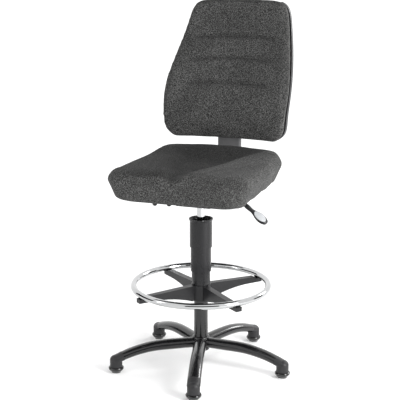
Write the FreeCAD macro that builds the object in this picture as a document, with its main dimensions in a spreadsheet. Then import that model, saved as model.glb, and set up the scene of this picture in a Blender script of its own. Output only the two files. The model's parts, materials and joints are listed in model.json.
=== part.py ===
"""Drafting chair with glides, foot ring, gas column, tilting seat and height-adjustable back.

The chair faces -Y, the sitter's left is +X and the origin is on the floor under the column.
"""
import FreeCAD, Part
import math
import os
import re

import Sketcher
from FreeCAD import Placement, Rotation, Vector

doc = FreeCAD.newDocument("drafting_chair")

# ---------------------------------------------------------------- driving dimensions (mm, degrees)
SIZES = (
    ("foot_reach", 310, "column axis to the middle of a glide"),
    ("foot_turn", -74.1, "direction of the first leg from +X"),
    ("hub_low", 60, "underside of the hub above the floor"),
    ("hub_tall", 51, "height of the hub"),
    ("hub_r", 31, "radius of the hub"),
    ("leg_wide", 46, "width of the oval leg tube"),
    ("leg_tall", 37, "height of the leg tube at the hub"),
    ("leg_tip_tall", 30, "height of the leg tube at its tip"),
    ("leg_wall", 2.5, "wall of the leg tube"),
    ("leg_axis", 88, "height of the leg's centre line at the hub"),
    ("leg_tip", 48, "height of the leg's centre line over the glide"),
    ("leg_root", 45, "radius where the leg tube starts"),
    ("leg_straight", 130, "radius where the leg starts to bend down"),
    ("plug_depth", 26, "how far a plug reaches into a leg tube"),
    ("plug_gap", 0.15, "clearance round a plug"),
    ("cap_r", 22, "radius of the cup of an end cap"),
    ("cap_rise", 16, "crown of an end cap above the leg's centre line"),
    ("cap_back", 26, "end cap's joint with the tube, behind the glide's axis"),
    ("glide_r", 27, "radius of a glide"),
    ("glide_tall", 18, "height of a glide"),
    ("pad_r", 16, "radius of a glide's pad"),
    ("pad_tall", 3, "height of a glide's pad"),
    ("stem_r", 5, "radius of a glide's stem"),
    ("stem_tall", 20, "length of a glide's stem"),
    ("post_r", 25, "radius of the stand tube"),
    ("post_wall", 2, "wall of the stand tube"),
    ("post_tall", 368, "length of the stand tube"),
    ("post_floor", 3, "floor of the stand tube"),
    ("rod_r", 5, "radius of the piston rod"),
    ("spigot_r", 4, "radius of the piston rod's lower end"),
    ("run_gap", 0.06, "clearance of a running fit"),
    ("race_tall", 2, "height of a bearing washer"),
    ("race_r", 13, "radius of a bearing washer"),
    ("ball_r", 1.95, "radius of a bearing ball"),
    ("ball_track", 9.5, "radius of the ball track"),
    ("buffer_tall", 12, "height of the rubber buffer"),
    ("clip_tall", 1.5, "height of the retaining clip"),
    ("clip_r", 8, "radius of the retaining clip"),
    ("cylinder_r", 14, "radius of the gas cylinder"),
    ("cylinder_wall", 3, "wall of the gas cylinder"),
    ("cylinder_low", 355, "lower end of the gas cylinder"),
    ("cylinder_top", 628, "upper end of the gas cylinder"),
    ("stroke", 145, "travel of the gas spring"),
    ("taper_tall", 30, "length of the taper"),
    ("taper_slope", 0.025, "taper per millimetre of length"),
    ("pin_r", 3, "radius of the release pin"),
    ("pin_rise", 3, "release pin above the cylinder"),
    ("pin_tall", 22, "length of the release pin"),
    ("pin_travel", 4, "travel of the release pin"),
    ("guide_tall", 80, "length of the guide sleeve"),
    ("guide_lip", 3, "lip of the guide sleeve"),
    ("cover_low", 307, "lower end of the lower cover"),
    ("cover_low_r", 33, "radius of the lower cover"),
    ("cover_mid_r", 36.5, "radius of the middle cover"),
    ("cover_top_r", 40, "radius of the upper cover"),
    ("cover_rim_r", 42.5, "radius of the upper cover's rim"),
    ("cover_wall", 2, "wall of a cover"),
    ("cover_tall", 102, "length of a cover"),
    ("cover_mid_low", 356, "lower end of the middle cover"),
    ("cover_top_low", 445, "lower end of the upper cover"),
    ("rim_sink", 12, "depth of the upper cover's recessed top"),
    ("ring_r", 239.5, "radius of the foot ring's centre line"),
    ("ring_tube_r", 11, "radius of the foot ring's tube"),
    ("ring_wall", 1.5, "wall of the foot ring's tube"),
    ("ring_axis", 302.7, "height of the foot ring's centre line"),
    ("spoke_turn", 51.1, "direction of the first spoke from +X"),
    ("spoke_wide", 23, "width of a spoke"),
    ("spoke_wall", 3.5, "wall of a spoke"),
    ("spoke_reach", 252, "radius of a spoke's tip"),
    ("spoke_top", 306, "top of a spoke at the hub"),
    ("spoke_low", 250, "underside of the spider's hub"),
    ("spider_r", 35, "radius of the spider's hub"),
    ("bush_r", 28, "outer radius of the clamp bush"),
    ("bush_gap", 0.08, "clearance of the clamp bush on the stand tube"),
    ("knob_r", 14, "radius of the clamp knob"),
    ("knob_tall", 18, "length of the clamp knob"),
    ("clamp_screw_r", 4, "radius of the clamp screw"),
    ("ring_screw_r", 2.5, "radius of a foot ring screw"),
    ("box_wide", 124, "width of the mechanism housing"),
    ("box_front", -78, "front of the mechanism housing"),
    ("box_rear", 118, "rear of the mechanism housing"),
    ("box_low", 603, "underside of the mechanism housing"),
    ("box_tall", 37, "height of the mechanism housing"),
    ("box_wall", 3, "wall of the mechanism housing"),
    ("socket_r", 19, "radius of the taper socket"),
    ("seat_axis_y", -60, "seat pivot, front to back"),
    ("seat_axis_z", 630, "seat pivot above the floor"),
    ("seat_shaft_r", 5, "radius of the seat pivot shaft"),
    ("back_axis_y", 100, "back pivot, front to back"),
    ("back_axis_z", 621, "back pivot above the floor"),
    ("back_shaft_r", 6, "radius of the back pivot shaft"),
    ("lever_axis_x", 45, "height lever pivot from the column"),
    ("lever_axis_z", 634, "height lever pivot above the floor"),
    ("lever_pin_r", 2.5, "radius of the height lever's pin"),
    ("lever_wide", 12, "width of the height lever's bar"),
    ("lever_thick", 5.6, "thickness of the height lever's bar"),
    ("paddle_x", 182, "height lever paddle's start from the column"),
    ("paddle_z", 594, "height lever paddle's start above the floor"),
    ("paddle_long", 74, "length of the paddle"),
    ("paddle_wide", 33, "width of the paddle"),
    ("paddle_thick", 17, "thickness of the paddle"),
    ("paddle_drop", 37, "slope of the paddle below level"),
    ("paddle_twist", 38, "turn of the paddle's face towards the front"),
    ("latch_z", 620, "height of the latch levers' shafts"),
    ("latch_r", 4, "radius of a latch lever's shaft"),
    ("seat_latch_y", -38, "seat latch lever, front to back"),
    ("seat_latch_x", -152, "end of the seat latch lever"),
    ("seat_latch_drop", 25, "drop of the seat latch's grip"),
    ("back_latch_y", 2, "back latch lever, front to back"),
    ("back_latch_x", -114, "end of the back latch lever"),
    ("back_latch_drop", 33, "drop of the back latch's grip"),
    ("latch_grip_r", 9, "radius of a latch lever's grip"),
    ("plate_low", 645, "underside of the seat plate"),
    ("plate_thick", 3, "thickness of the seat plate"),
    ("plate_wide", 220, "width of the seat plate"),
    ("plate_front", -150, "front of the seat plate"),
    ("plate_rear", 130, "rear of the seat plate"),
    ("ear_gap", 4, "gap between the housing and a seat plate ear"),
    ("ear_half", 12, "half the length of a seat plate ear"),
    ("shell_thick", 7, "thickness of the seat shell"),
    ("shell_inset", 42, "seat shell inside the cushion's widest line"),
    ("seat_front", -284, "front of the cushion"),
    ("seat_rear", 245, "rear of the cushion"),
    ("seat_front_wide", 502, "width of the cushion at the front corners"),
    ("seat_rear_wide", 452, "width of the cushion at the rear corners"),
    ("seat_corner", 78, "corner radius of the cushion"),
    ("seat_belly", 62, "widest line above the cushion's underside"),
    ("seat_thick", 96, "thickness of the cushion at its side rolls"),
    ("seat_tuck", 32, "cushion's underside inside its widest line"),
    ("seat_crown", 20, "cushion's upper edge inside its widest line"),
    ("seat_screw_r", 3, "radius of a seat screw"),
    ("arm_hole_r", 3.3, "radius of a spare armrest hole"),
    ("arm_hole_x", 178, "spare armrest holes from the middle"),
    ("arm_hole_pitch", 70, "spacing of the spare armrest holes"),
    ("arm_hole_y", -20, "middle of the spare armrest holes"),
    ("bar_y", 305, "upright of the back bar, front to back"),
    ("bar_wide", 50, "width of the back bar"),
    ("bar_thick", 8, "thickness of the back bar"),
    ("bar_bend", 36, "bend radius of the back bar"),
    ("bar_top", 955, "top of the back bar"),
    ("bar_boss_r", 11, "radius of the back bar's pivot boss"),
    ("sleeve_wide", 90, "width of the bar's plastic sleeve"),
    ("sleeve_thick", 20, "thickness of the bar's plastic sleeve"),
    ("sleeve_low", 664, "lower end of the bar's plastic sleeve"),
    ("sleeve_tall", 150, "length of the bar's plastic sleeve"),
    ("slide_gap", 0.3, "clearance of a sliding fit"),
    ("carrier_wide", 104, "width of the ratchet carrier"),
    ("carrier_thick", 30, "thickness of the ratchet carrier"),
    ("carrier_low", 850, "underside of the ratchet carrier"),
    ("carrier_tall", 95, "height of the ratchet carrier"),
    ("notch_pitch", 12, "spacing of the bar's ratchet notches"),
    ("back_low", 790, "bottom of the back"),
    ("back_tall", 490, "height of the back"),
    ("back_low_half", 190, "half width of the back near its bottom"),
    ("back_half", 237, "half width of the back at its widest"),
    ("back_top_half", 194, "half width of the back near its top"),
    ("back_foot_y", 254, "back's rim at its bottom, front to back"),
    ("back_lumbar_y", 236, "back's rim at the lumbar bulge, front to back"),
    ("back_mid_y", 302, "back's rim half way up, front to back"),
    ("back_high_y", 380, "back's rim at the shoulders, front to back"),
    ("back_head_y", 412, "back's rim at its top, front to back"),
    ("pad_front", 24, "back cushion in front of the rim line"),
    ("pad_hollow", 20, "hollow of the back across its width"),
    ("pad_rear", 9, "back cushion's rear edge behind the rim line"),
    ("inner_thick", 8, "thickness of the back's inner shell"),
    ("inner_inset", 14, "inner shell inside the cushion's outline"),
    ("rim_thick", 22, "outer shell's edge behind the rim line"),
    ("outer_wall", 3.5, "wall of the outer shell"),
    ("outer_bulge", 98, "outer shell's rear at the lumbar, behind the rim line"),
    ("outer_foot", 76, "outer shell's rear at the bottom, behind the rim line"),
    ("outer_head", 53, "outer shell's rear at the top, behind the rim line"),
    ("grip_half", 56, "half width of the hand grip's hump"),
    ("grip_rise", 11, "rise of the hand grip's hump"),
    ("grip_hole_half", 46, "half width of the hand hole"),
    ("grip_hole_tall", 22, "height of the hand hole"),
)
ALIASES = {alias for alias, _, _ in SIZES}

sheet = doc.addObject("Spreadsheet::Sheet", "sizes")
for row, (alias, number, meaning) in enumerate(SIZES, 1):
    sheet.set(f"A{row}", alias)
    sheet.set(f"B{row}", str(number))
    sheet.setAlias(f"B{row}", alias)
    sheet.set(f"C{row}", meaning)
doc.recompute()


# ---------------------------------------------------------------- helpers
def bound(text):
    """The expression with every size written as the sheet's own cell."""
    def cell(word):
        return "sizes." + word.group() if word.group() in ALIASES else word.group()
    return re.sub(r"[a-z_][a-z0-9_]*", cell, str(text))


def work(text):
    """The present value of an expression on the sheet."""
    return float(sheet.evalExpression(bound(text)))


def bind(piece, **properties):
    """Ties properties of a piece to the sheet; a double underscore stands for a dot."""
    for name, text in properties.items():
        piece.setExpression(name.replace("__", "."), bound(text))


def outline(body, role, corners):
    """A closed sketch in the body whose corners are each held by two sizes."""
    sketch = body.newObject("Sketcher::SketchObject", body.Name + "_outline")
    plane = next(f for f in body.Origin.OriginFeatures if f.Role == role)
    sketch.AttachmentSupport = [(plane, "")]
    sketch.MapMode = "FlatFace"
    points = [Vector(work(across), work(along), 0) for across, along in corners]
    count = len(points)
    for i, point in enumerate(points):
        sketch.addGeometry(Part.LineSegment(point, points[(i + 1) % count]))
    for i in range(count):
        sketch.addConstraint(Sketcher.Constraint("Coincident", i, 2, (i + 1) % count, 1))
    for i, point in enumerate(points):
        for kind, now, text in (("DistanceX", point.x, corners[i][0]), ("DistanceY", point.y,
                                                                        corners[i][1])):
            held = sketch.addConstraint(Sketcher.Constraint(kind, -1, 1, i, 1, now))
            sketch.setExpression(f"Constraints[{held}]", bound(text))
    return sketch


def turned(label, corners):
    """A body turned about its own Z axis from (radius, height) corners."""
    body = doc.addObject("PartDesign::Body", label)
    body.Label = label
    sketch = outline(body, "XZ_Plane", corners)
    spin = body.newObject("PartDesign::Revolution", label + "_turned")
    spin.Profile = sketch
    spin.ReferenceAxis = (sketch, ["V_Axis"])
    spin.Angle = 360
    return body


def sleeve(label, inner, outer, low, high):
    """A turned plain tube."""
    return turned(label, ((inner, low), (outer, low), (outer, high), (inner, high)))


def block(name, low, high):
    """A bound box between two corners given as expressions."""
    box = doc.addObject("Part::Box", name)
    bind(box, Length=f"({high[0]})-({low[0]})", Width=f"({high[1]})-({low[1]})",
         Height=f"({high[2]})-({low[2]})")
    bind(box, Placement__Base__x=low[0], Placement__Base__y=low[1], Placement__Base__z=low[2])
    return box


def rod(name, radius, length, start, axis):
    """A bound cylinder of the given length from start along an axis."""
    cylinder = doc.addObject("Part::Cylinder", name)
    bind(cylinder, Radius=radius, Height=length)
    cylinder.Placement.Rotation = Rotation(Vector(0, 0, 1), Vector(*axis))
    bind(cylinder, Placement__Base__x=start[0], Placement__Base__y=start[1], Placement__Base__z=start[2])
    return cylinder


def joined(label, pieces):
    fuse = doc.addObject("Part::MultiFuse", label)
    fuse.Label = label
    fuse.Shapes = pieces
    fuse.Refine = True
    return fuse


def cut(label, base, tool):
    result = doc.addObject("Part::Cut", label)
    result.Label = label
    result.Base = base
    result.Tool = tool
    return result


def shaped(label, shape, placement=None):
    """A piece whose form comes from Part's own functions."""
    piece = doc.addObject("Part::Feature", label)
    piece.Label = label
    piece.Shape = shape
    if placement is not None:
        piece.Placement = placement
    return piece


def about_z(degrees):
    return Placement(Vector(), Rotation(Vector(0, 0, 1), degrees))


def tube_between(radius, start, end):
    """A solid round bar between two points."""
    run = end - start
    return Part.makeCylinder(radius, run.Length, start, run)


def capsule(radius, start, end):
    """A round bar with ball ends."""
    return tube_between(radius, start, end).fuse(
        [Part.makeSphere(radius, start), Part.makeSphere(radius, end)]).removeSplitter()


PIECES = []


def keep(piece):
    PIECES.append(piece)
    return piece


# ---------------------------------------------------------------- five-leg base
LEGS = 5
LEG_STEP = 360 / LEGS


def leg_station(reach):
    """Height and slope of the leg's centre line at a distance from the column."""
    run = work("foot_reach") - work("leg_straight")
    drop = work("leg_axis") - work("leg_tip")
    bend = (run * run + drop * drop) / (2 * drop)
    past = max(0.0, reach - work("leg_straight"))
    slope = math.asin(past / bend)
    return work("leg_axis") - bend * (1 - math.cos(slope)), slope


def leg_section(reach, shrink):
    """One oval of the leg, square to its centre line, shrunk all round."""
    height, slope = leg_station(reach)
    share = max(0.0, reach - work("leg_straight")) / (work("foot_reach") - work("leg_straight"))
    tall = work("leg_tall") + (work("leg_tip_tall") - work("leg_tall")) * share
    oval = Part.Ellipse(Vector(), work("leg_wide") / 2 - shrink, tall / 2 - shrink)
    edge = oval.toShape()
    edge.rotate(Vector(), Vector(0, 0, 1), 90)
    edge.rotate(Vector(), Vector(0, 1, 0), 90 + math.degrees(slope))
    edge.translate(Vector(reach, 0, height))
    return Part.Wire(edge)


def leg_run(start, end, shrink):
    """The oval leg form between two distances from the column."""
    stations = 7
    reaches = [start + (end - start) * i / (stations - 1) for i in range(stations)]
    return Part.makeLoft([leg_section(r, shrink) for r in reaches], True, False)


def make_hub():
    core = Part.makeCylinder(work("hub_r"), work("hub_tall"), Vector(0, 0, work("hub_low")))
    core = core.makeFillet(4, [e for e in core.Edges if e.Curve.TypeId == "Part::GeomCircle"])
    arms = []
    fit = work("leg_wall + plug_gap")
    inner = work("post_r - 5")
    for k in range(LEGS):
        boss = leg_run(inner, work("leg_root"), 0)
        plug = leg_run(inner, work("leg_root + plug_depth"), fit)
        for arm in (boss, plug):
            arm.Placement = about_z(work("foot_turn") + k * LEG_STEP)
            arms.append(arm)
    bore = Part.makeCylinder(work("post_r"), work("hub_tall") * 2, Vector(0, 0, work("hub_low") - 5))
    return core.fuse(arms).cut(bore)


keep(shaped("base_hub", make_hub()))

tube_start = work("leg_root")
tube_end = work("foot_reach - cap_back")
leg_tube = leg_run(tube_start, tube_end, 0).cut(leg_run(tube_start - 1, tube_end + 1, work("leg_wall")))


def make_cap():
    """An elbow: a plug and collar on the leg's line, and a domed cup over the glide."""
    reach = work("foot_reach")
    low = work("pad_tall + glide_tall")
    dome = work("leg_tip + cap_rise")
    shoulder = work("leg_tip - 2")
    cup = Part.makeCylinder(work("cap_r"), shoulder - low, Vector(reach, 0, low))
    ball = Part.makeSphere(work("cap_r"))
    squash = FreeCAD.Matrix()
    squash.A33 = (dome - shoulder) / work("cap_r")
    crown = ball.transformGeometry(squash)
    crown.translate(Vector(reach, 0, shoulder))
    collar = leg_run(tube_end, reach, 0)
    plug = leg_run(tube_end - work("plug_depth"), tube_end + 4, work("leg_wall + plug_gap"))
    stem = Part.makeCylinder(work("stem_r"), work("stem_tall"), Vector(reach, 0, low))
    return cup.fuse([crown, collar, plug]).cut(stem)


leg_cap = make_cap()
for k in range(LEGS):
    turn = about_z(work("foot_turn") + k * LEG_STEP)
    keep(shaped(f"leg_{k + 1}", leg_tube, turn))
    keep(shaped(f"leg_cap_{k + 1}", leg_cap, turn))

GLIDE = (
    ("0", "pad_tall"), ("pad_r + 1", "pad_tall"), ("glide_r - 3.5", "pad_tall + glide_tall * 0.35"),
    ("glide_r - 0.8", "pad_tall + glide_tall * 0.55"), ("glide_r", "pad_tall + glide_tall * 0.7"),
    ("glide_r", "pad_tall + glide_tall * 0.82"), ("glide_r - 1.2", "pad_tall + glide_tall * 0.94"),
    ("glide_r - 3", "pad_tall + glide_tall"), ("stem_r", "pad_tall + glide_tall"),
    ("stem_r", "pad_tall + glide_tall + stem_tall"), ("0", "pad_tall + glide_tall + stem_tall"))
pad_row = []
for k in range(LEGS):
    turn = f"foot_turn + {k * LEG_STEP}"
    glide = keep(turned(f"glide_{k + 1}", GLIDE))
    bind(glide, Placement__Base__x=f"foot_reach * cos({turn})",
         Placement__Base__y=f"foot_reach * sin({turn})")
    pad = rod(f"pad_{k + 1}", "pad_r", "pad_tall", (f"foot_reach * cos({turn})",
                                                    f"foot_reach * sin({turn})",
                                                    "0"),
              (0, 0, 1))
    pad_row.append(pad)
pads = doc.addObject("Part::Compound", "glide_pads")
pads.Label = "glide_pads"
pads.Links = pad_row
keep(pads)

# ---------------------------------------------------------------- column and gas spring
POST_LOW = "hub_low + 2"
FLOOR_TOP = "hub_low + 2 + post_floor"
POST_TOP = "hub_low + 2 + post_tall"
keep(turned("stand_tube", (
    ("spigot_r + run_gap", POST_LOW), ("post_r", POST_LOW), ("post_r", POST_TOP), ("post_r - post_wall",
                                                                                   POST_TOP),
    ("post_r - post_wall", FLOOR_TOP), ("spigot_r + run_gap", FLOOR_TOP))))
keep(turned("guide_sleeve", (
    ("cylinder_r + run_gap", f"{POST_TOP} - guide_tall"), ("post_r - post_wall",
                                                           f"{POST_TOP} - guide_tall"),
    ("post_r - post_wall", POST_TOP), ("post_r", POST_TOP), ("post_r", f"{POST_TOP} + guide_lip"),
    ("cylinder_r + run_gap", f"{POST_TOP} + guide_lip"))))
keep(sleeve("bearing_washer_lower", "rod_r", "race_r", FLOOR_TOP, f"{FLOOR_TOP} + race_tall"))
RACE_MID = f"{FLOOR_TOP} + race_tall + 2"
RACE_TOP = f"{FLOOR_TOP} + race_tall * 2 + 4"
BALLS = 12
ball_row = []
for k in range(BALLS):
    ball = doc.addObject("Part::Sphere", f"ball_{k + 1}")
    bind(ball, Radius="ball_r", Placement__Base__z=RACE_MID)
    bind(ball, Placement__Base__x=f"ball_track * cos({k * 360 / BALLS})",
         Placement__Base__y=f"ball_track * sin({k * 360 / BALLS})")
    ball_row.append(ball)
balls = doc.addObject("Part::Compound", "thrust_balls")
balls.Label = "thrust_balls"
balls.Links = ball_row
keep(balls)
keep(sleeve("bearing_washer_upper", "spigot_r", "race_r", f"{FLOOR_TOP} + race_tall + 4", RACE_TOP))
keep(sleeve("buffer", "rod_r", "race_r - 1", RACE_TOP, f"{RACE_TOP} + buffer_tall"))
keep(sleeve("retaining_clip", "spigot_r", "clip_r", f"{POST_LOW} - 1 - clip_tall", f"{POST_LOW} - 1"))
ROD_LOW = f"{POST_LOW} - 2 - clip_tall"
PISTON_LOW = "cylinder_low + 10"
keep(turned("piston_rod", (
    ("0", ROD_LOW), ("spigot_r", ROD_LOW), ("spigot_r", RACE_TOP), ("rod_r", RACE_TOP), ("rod_r",
                                                                                         PISTON_LOW),
    ("cylinder_r - cylinder_wall - run_gap", PISTON_LOW), ("cylinder_r - cylinder_wall - run_gap",
                                                           f"{PISTON_LOW} + 9"),
    ("0", f"{PISTON_LOW} + 9"))))
SHUT = "cylinder_low + stroke + 28"
PIN_FOOT = "cylinder_top + pin_rise - pin_tall"
keep(turned("gas_cylinder", (
    ("rod_r + run_gap", "cylinder_low"), ("cylinder_r - 1", "cylinder_low"), ("cylinder_r",
                                                                              "cylinder_low + 1"),
    ("cylinder_r", "cylinder_top - taper_tall"), ("cylinder_r - taper_tall * taper_slope", "cylinder_top"),
    ("pin_r + run_gap", "cylinder_top"), ("pin_r + run_gap", f"{PIN_FOOT} - pin_travel - 2"),
    ("0", f"{PIN_FOOT} - pin_travel - 2"), ("0", SHUT), ("cylinder_r - cylinder_wall", SHUT),
    ("cylinder_r - cylinder_wall", "cylinder_low + 5"), ("rod_r + run_gap", "cylinder_low + 5"))))
keep(turned("release_pin", (("0", PIN_FOOT), ("pin_r", PIN_FOOT), ("pin_r", "cylinder_top + pin_rise"),
                            ("0", "cylinder_top + pin_rise"))))

# ---------------------------------------------------------------- telescopic covers
LOW_END = "cover_low + cover_tall"
keep(turned("cover_lower", (
    ("post_r", "cover_low"), ("cover_low_r - 1.5", "cover_low"), ("cover_low_r - 1.5", "cover_low + 11"),
    ("cover_low_r", "cover_low + 12"), ("cover_low_r", LOW_END), ("cover_low_r - cover_wall", LOW_END),
    ("cover_low_r - cover_wall", "cover_low + 12"), ("post_r", "cover_low + 12"))))
keep(turned("cover_middle", (
    ("cover_mid_r - cover_wall", "cover_mid_low"), ("cover_mid_r", "cover_mid_low"),
    ("cover_mid_r", "cover_mid_low + cover_tall"), ("cover_mid_r - cover_wall - 1",
                                                    "cover_mid_low + cover_tall"),
    ("cover_mid_r - cover_wall - 1", "cover_mid_low + cover_tall - 2"),
    ("cover_mid_r - cover_wall", "cover_mid_low + cover_tall - 2"))))
TOP_END = "cover_top_low + cover_tall"
keep(turned("cover_upper", (
    ("cover_top_r - cover_wall", "cover_top_low"), ("cover_top_r", "cover_top_low"), ("cover_top_r",
                                                                                      f"{TOP_END} - 9"),
    ("cover_rim_r", f"{TOP_END} - 3"), ("cover_rim_r", TOP_END), ("cover_rim_r - cover_wall", TOP_END),
    ("cover_top_r - 5", f"{TOP_END} - rim_sink"), ("cylinder_r + slide_gap", f"{TOP_END} - rim_sink"),
    ("cylinder_r + slide_gap", f"{TOP_END} - rim_sink - 2"), ("cover_top_r - cover_wall",
                                                              f"{TOP_END} - rim_sink - 2"))))

# ---------------------------------------------------------------- foot ring
SPOKES = 4
SADDLE = work("ring_axis - ring_tube_r")


def spoke_profile(width, shrink):
    """A spoke's side, standing on its hub end, with a saddle for the ring and a hollowed lower edge."""
    top = work("spoke_top") - shrink
    near = work("post_r")
    inner = work("ring_r - ring_tube_r") - shrink
    tip = work("spoke_reach") - shrink
    low = work("spoke_low")
    seat = SADDLE - shrink
    tip_low = seat - 15 + 2 * shrink
    corner = [Vector(near, 0, low), Vector(near, 0, top), Vector(inner - 6, 0, seat + 6), Vector(inner, 0,
                                                                                                 seat),
              Vector(tip, 0, seat), Vector(tip, 0, tip_low)]
    edges = [Part.LineSegment(corner[i], corner[i + 1]).toShape() for i in range(len(corner) - 1)]
    heel = Vector(inner - 20, 0, tip_low)
    edges.append(Part.LineSegment(corner[-1], heel).toShape())
    waist = Vector((heel.x + near) / 2, 0, tip_low - 7)
    root = Vector(work("spider_r") + 8, 0, low + shrink)
    edges.append(Part.Arc(heel, waist, root).toShape())
    edges.append(Part.LineSegment(root, corner[0]).toShape())
    half = Part.Face(Part.Wire(edges))
    return half.extrude(Vector(0, width / 2, 0)).fuse(half.extrude(Vector(0, -width / 2,
                                                                          0))).removeSplitter()


def make_spider():
    low = work("spoke_low")
    tall = work("cover_low - 0.5") - low
    hub = Part.makeCylinder(work("spider_r"), tall, Vector(0, 0, low))
    spokes = []
    hollows = []
    wall = work("spoke_wall")
    for k in range(SPOKES):
        turn = work("spoke_turn") + k * 360 / SPOKES
        spoke = spoke_profile(work("spoke_wide"), 0)
        spoke.rotate(Vector(), Vector(0, 0, 1), turn)
        spokes.append(spoke)
        trough = spoke_profile(work("spoke_wide") - 2 * wall, wall)
        below = trough.copy()
        below.translate(Vector(0, 0, -2 * wall))
        room = trough.fuse(below)
        outside = Part.makeCylinder(work("spoke_reach") * 2, tall * 3, Vector(0, 0, low - tall))
        room = room.common(outside.cut(Part.makeCylinder(work("spider_r"), tall * 3, Vector(0, 0,
                                                                                            low - tall))))
        room.rotate(Vector(), Vector(0, 0, 1), turn)
        screw = Part.makeCylinder(work("ring_screw_r"), 90, Vector(work("ring_r"), 0, SADDLE - 60))
        screw.rotate(Vector(), Vector(0, 0, 1), turn)
        hollows += [room, screw]
    bore = Part.makeCylinder(work("bush_r"), tall * 3, Vector(0, 0, low - tall))
    knob_bore = Part.makeCylinder(work("clamp_screw_r + run_gap"), work("spider_r") * 2, Vector(0, 0,
                                                                                                low + tall / 2),
                                  Vector(0, 1, 0))
    spider = hub.fuse(spokes)
    for tool in [bore, knob_bore] + hollows:
        spider = spider.cut(tool)
    return spider


keep(shaped("footring_spider", make_spider()))

ring = doc.addObject("Part::Torus", "ring_outside")
bind(ring, Radius1="ring_r", Radius2="ring_tube_r", Placement__Base__z="ring_axis")
ring_core = doc.addObject("Part::Torus", "ring_inside")
bind(ring_core, Radius1="ring_r", Radius2="ring_tube_r - ring_wall", Placement__Base__z="ring_axis")
screw_row = []
bore_row = []
for k in range(SPOKES):
    turn = f"spoke_turn + {k * 360 / SPOKES}"
    spot = (f"ring_r * cos({turn})", f"ring_r * sin({turn})")
    low = "ring_axis - ring_tube_r - 7"
    shank = rod(f"ring_screw_{k}", "ring_screw_r", "12", (*spot, low), (0, 0, 1))
    screw_row.append(shank)
    bore_row.append(rod(f"ring_bore_{k}", "ring_screw_r", "12", (*spot, low), (0, 0, 1)))
keep(cut("footring", ring, joined("ring_void", [ring_core] + bore_row)))
ring_screws = doc.addObject("Part::Compound", "footring_screws")
ring_screws.Label = "footring_screws"
ring_screws.Links = screw_row
keep(ring_screws)
keep(sleeve("footring_bush", "post_r + bush_gap", "bush_r", "spoke_low", "cover_low - 0.5"))

knob_mid = "(spoke_low + cover_low - 0.5) / 2"
knob_shank = rod("knob_shank", "clamp_screw_r", "spider_r + 4 - bush_r - slide_gap", ("0",
                                                                                      "bush_r + slide_gap",
                                                                                      knob_mid),
                 (0, 1, 0))
knob_head = rod("knob_head", "knob_r", "knob_tall", ("0", "spider_r + 3", knob_mid), (0, 1, 0))
keep(joined("clamp_knob", [knob_shank, knob_head]))

# ---------------------------------------------------------------- seat mechanism
HALF = "box_wide / 2"
BOX_TOP = "box_low + box_tall"
pan_outside = block("pan_outside", (f"-({HALF})", "box_front", "box_low"), (HALF, "box_rear", BOX_TOP))
pan_inside = block("pan_inside", (f"box_wall - {HALF}", "box_front + box_wall", "box_low + box_wall"),
                   (f"{HALF} - box_wall", "box_rear + 1", f"{BOX_TOP} + 1"))
pan = cut("pan", pan_outside, pan_inside)
ears = [block(f"lever_ear_{k}", ("lever_axis_x - 7", y0, "box_low + 1"), ("lever_axis_x + 7", y1, BOX_TOP))
        for k, (y0, y1) in enumerate((("-lever_wide / 2 - 4", "-lever_wide / 2 - 1"),
                                      ("lever_wide / 2 + 1", "lever_wide / 2 + 4")))]
holes = [
    rod("socket_hole", "socket_r", "box_wall * 3", ("0", "0", "box_low - box_wall"), (0, 0, 1)),
    rod("seat_shaft_hole", "seat_shaft_r", "box_wide * 2", ("-box_wide", "seat_axis_y", "seat_axis_z"), (1,
                                                                                                         0,
                                                                                                         0)),
    rod("back_shaft_hole", "back_shaft_r", "box_wide * 2", ("-box_wide", "back_axis_y", "back_axis_z"), (1,
                                                                                                         0,
                                                                                                         0)),
    rod("lever_pin_hole", "lever_pin_r", "40", ("lever_axis_x", "-20", "lever_axis_z"), (0, 1, 0)),
    rod("seat_latch_hole", "latch_r + run_gap", "20", (f"-10 - {HALF}", "seat_latch_y", "latch_z"), (1, 0,
                                                                                                     0)),
    rod("back_latch_hole", "latch_r + run_gap", "20", (f"-10 - {HALF}", "back_latch_y", "latch_z"), (1, 0,
                                                                                                     0)),
    block("lever_slot", (f"{HALF} - box_wall * 2", "-lever_wide", "lever_axis_z - 8"),
          (f"{HALF} + box_wall", "lever_wide", f"{BOX_TOP} + 1")),
]
keep(cut("mechanism_housing", joined("pan_ears", [pan] + ears), joined("pan_holes", holes)))
keep(turned("taper_socket", (
    ("cylinder_r", "cylinder_top - taper_tall"), ("socket_r", "cylinder_top - taper_tall"),
    ("socket_r", "cylinder_top"), ("cylinder_r - taper_tall * taper_slope", "cylinder_top"))))
keep(rod("seat_pivot_shaft", "seat_shaft_r", "box_wide + 24", ("-box_wide / 2 - 12", "seat_axis_y",
                                                               "seat_axis_z"),
         (1, 0, 0)))
keep(rod("back_pivot_shaft", "back_shaft_r", "box_wide + 10", ("-box_wide / 2 - 5", "back_axis_y",
                                                               "back_axis_z"),
         (1, 0, 0)))
keep(rod("lever_pivot_pin", "lever_pin_r", "lever_wide + 10", ("lever_axis_x", "-lever_wide / 2 - 5",
                                                               "lever_axis_z"),
         (0, 1, 0)))


def make_spring():
    """Two coils of round wire on the back pivot shaft, one each side of the bar's boss."""
    wire_r = 1.2
    coil_r = work("back_shaft_r") + wire_r + 0.8
    start = work("bar_wide") / 2 + 3
    room = work("box_wide") / 2 - work("box_wall") - 3 - start
    coils = []
    for side in (1, -1):
        helix = Part.makeHelix(3.2, room, coil_r)
        ring_face = Part.Wire(Part.Circle(Vector(coil_r, 0, 0), Vector(0, 1, 0), wire_r).toShape())
        coil = Part.Wire(helix).makePipeShell([ring_face], True, True)
        coil.rotate(Vector(), Vector(0, 1, 0), 90 * side)
        coil.translate(Vector(side * start, work("back_axis_y"), work("back_axis_z")))
        coils.append(coil)
    return Part.makeCompound(coils)


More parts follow.
